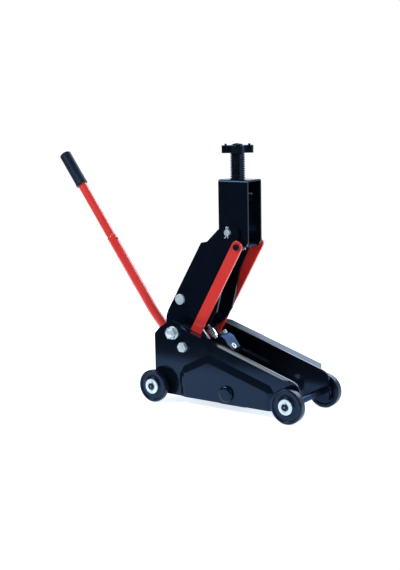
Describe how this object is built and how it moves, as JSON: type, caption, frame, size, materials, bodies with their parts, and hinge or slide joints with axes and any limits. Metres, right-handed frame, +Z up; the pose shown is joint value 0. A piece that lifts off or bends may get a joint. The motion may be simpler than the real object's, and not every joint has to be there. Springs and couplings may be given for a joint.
{
  "type": "hydraulic trolley jack",
  "caption": "Hydraulic trolley jack for high vehicles, shown raised: side-plate chassis on four wheels, lifting arm with parallel links, screw saddle and pump handle.",
  "frame": {"origin": "on the floor, under the middle of the whole object's box", "axes": "+X forward to the front wheels, +Y to the left side, +Z up"},
  "size_m": [0.7506, 0.2046, 0.6021],
  "materials": {
    "black_paint": "gloss",
    "red_paint": "gloss",
    "zinc": "satin",
    "chrome": "polished",
    "grey_cast": "satin",
    "black_steel": "satin",
    "grip_rubber": "matte",
    "wheel_black": "gloss"
  },
  "bodies": {
    "frame": {"side_plate_right": "black_paint", "side_plate_left": "black_paint", "front_axle": "black_steel", "rear_axle": "black_steel", "front_washer_right": "zinc", "front_washer_left": "zinc", "rear_washer_right": "zinc", "rear_washer_left": "zinc", "arm_pivot_shaft": "zinc", "arm_pivot_nut_right": "zinc", "arm_pivot_nut_left": "zinc", "link_pivot_bolt_right": "zinc", "link_pivot_bolt_left": "zinc", "link_pivot_nut_right": "zinc", "link_pivot_nut_left": "zinc", "link_spacer_right": "zinc", "link_spacer_left": "zinc", "trunnion_bolt_right": "black_paint", "trunnion_bolt_left": "black_paint"},
    "front_wheel_right": {"front_wheel_right": "wheel_black"},
    "front_wheel_left": {"front_wheel_left": "wheel_black"},
    "rear_wheel_right": {"rear_wheel_right": "wheel_black"},
    "rear_wheel_left": {"rear_wheel_left": "wheel_black"},
    "lift_arm": {"arm_plate_right": "black_paint", "arm_plate_left": "black_paint", "arm_pivot_sleeve": "black_steel", "arm_web": "black_paint", "ram_pin": "zinc", "arm_top_pin": "zinc", "arm_split_pin_right": "zinc", "arm_split_pin_left": "zinc"},
    "links": {"link_right": "red_paint", "link_left": "red_paint"},
    "head": {"head_bracket": "black_paint", "screw_nut_block": "black_paint", "link_pin": "black_steel", "link_split_pin": "zinc"},
    "screw": {"lifting_screw": "black_steel"},
    "saddle": {"saddle": "black_steel"},
    "power_unit": {"power_unit_base": "black_paint", "cylinder_tube": "black_paint", "valve_block": "black_steel", "gland_nut": "black_steel", "relief_valve_cap": "grey_cast", "bleed_screw": "zinc", "port_plug": "grey_cast", "socket_shaft": "zinc", "return_spring_right": "black_steel", "return_spring_left": "black_steel"},
    "release_valve": {"release_valve": "zinc"},
    "ram": {"ram": "chrome", "ram_crosshead": "black_steel"},
    "pump_plunger": {"pump_plunger": "chrome", "pump_spring": "zinc"},
    "handle_socket": {"handle_socket": "black_paint"},
    "handle": {"handle_lower_tube": "red_paint", "handle_upper_tube": "red_paint", "handle_grip": "grip_rubber"},
    "snap_button": {"snap_button": "black_steel"}
  },
  "joints": [
    {"name": "lift", "type": "hinge", "parent": "frame", "child": "lift_arm", "pos_m": [0.01525, 0, 0.166], "axis": [0, 1, 0], "range_deg": [0, 84]},
    {"name": "link_swing", "type": "hinge", "parent": "frame", "child": "links", "pos_m": [0.04575, 0, 0.136], "axis": [0, 1, 0], "range_deg": [-1, 85]},
    {"name": "head_level", "type": "hinge", "parent": "lift_arm", "child": "head", "pos_m": [0.15192, 0, 0.40464], "axis": [0, 1, 0], "range_deg": [-85, 1]},
    {"name": "unit_tilt", "type": "hinge", "parent": "frame", "child": "power_unit", "pos_m": [0.16725, 0, 0.042], "axis": [0, 1, 0], "range_deg": [-0.5, 7.46]},
    {"name": "ram_slide", "type": "slide", "parent": "power_unit", "child": "ram", "axis": [-0.609, 0, 0.7931], "range_m": [-0.09771, 0.001], "deforming": ["return_spring_right", "return_spring_left"]},
    {"name": "saddle_turn", "type": "hinge", "parent": "screw", "child": "saddle", "pos_m": [0.15742, 0, 0.59], "axis": [0, 0, 1], "range_deg": [-3240, 720]},
    {"name": "screw_lift", "type": "slide", "parent": "head", "child": "screw", "axis": [0, 0, 1], "range_m": [-0.0452, 0.0102]},
    {"name": "handle_pump", "type": "hinge", "parent": "power_unit", "child": "handle_socket", "pos_m": [-0.00875, 0, 0.107], "axis": [0, 1, 0], "range_deg": [-30, 8]},
    {"name": "plunger_stroke", "type": "slide", "parent": "power_unit", "child": "pump_plunger", "axis": [1, 0, 0], "range_m": [-0.0055, 0.0195], "deforming": ["pump_spring"]},
    {"name": "handle_twist", "type": "hinge", "parent": "handle_socket", "child": "handle", "pos_m": [-0.00875, 0, 0.107], "axis": [-0.682, 0, 0.7314], "range_deg": [0, 90]},
    {"name": "valve_turn", "type": "hinge", "parent": "power_unit", "child": "release_valve", "pos_m": [0.04525, 0.012, 0.034], "axis": [-1, 0, 0], "range_deg": [-1, 91]},
    {"name": "button_press", "type": "slide", "parent": "handle", "child": "snap_button", "axis": [-0.809, 0, -0.5878], "range_m": [0, 0.0028], "stiffness_N_per_m": 600, "springref_m": -0.003},
    {"name": "front_wheel_right_spin", "type": "hinge", "parent": "frame", "child": "front_wheel_right", "pos_m": [0.33525, 0, 0.04], "axis": [0, 1, 0], "continuous": true},
    {"name": "front_wheel_left_spin", "type": "hinge", "parent": "frame", "child": "front_wheel_left", "pos_m": [0.33525, 0, 0.04], "axis": [0, 1, 0], "continuous": true},
    {"name": "rear_wheel_right_spin", "type": "hinge", "parent": "frame", "child": "rear_wheel_right", "pos_m": [-0.02775, 0, 0.0385], "axis": [0, 1, 0], "continuous": true},
    {"name": "rear_wheel_left_spin", "type": "hinge", "parent": "frame", "child": "rear_wheel_left", "pos_m": [-0.02775, 0, 0.0385], "axis": [0, 1, 0], "continuous": true}
  ],
  "couplings": [
    {"joint": "link_swing", "follows": "lift", "ratio": 1},
    {"joint": "head_level", "follows": "lift", "ratio": -1},
    {"joint": "unit_tilt", "follows": "lift", "ratio": 0.082848},
    {"joint": "ram_slide", "follows": "lift", "m_per_rad": -0.065968},
    {"joint": "screw_lift", "follows": "saddle_turn", "m_per_rad": 0.00079577},
    {"joint": "plunger_stroke", "follows": "handle_pump", "m_per_rad": -0.036},
    {"joint": "valve_turn", "follows": "handle_twist", "ratio": 1}
  ]
}
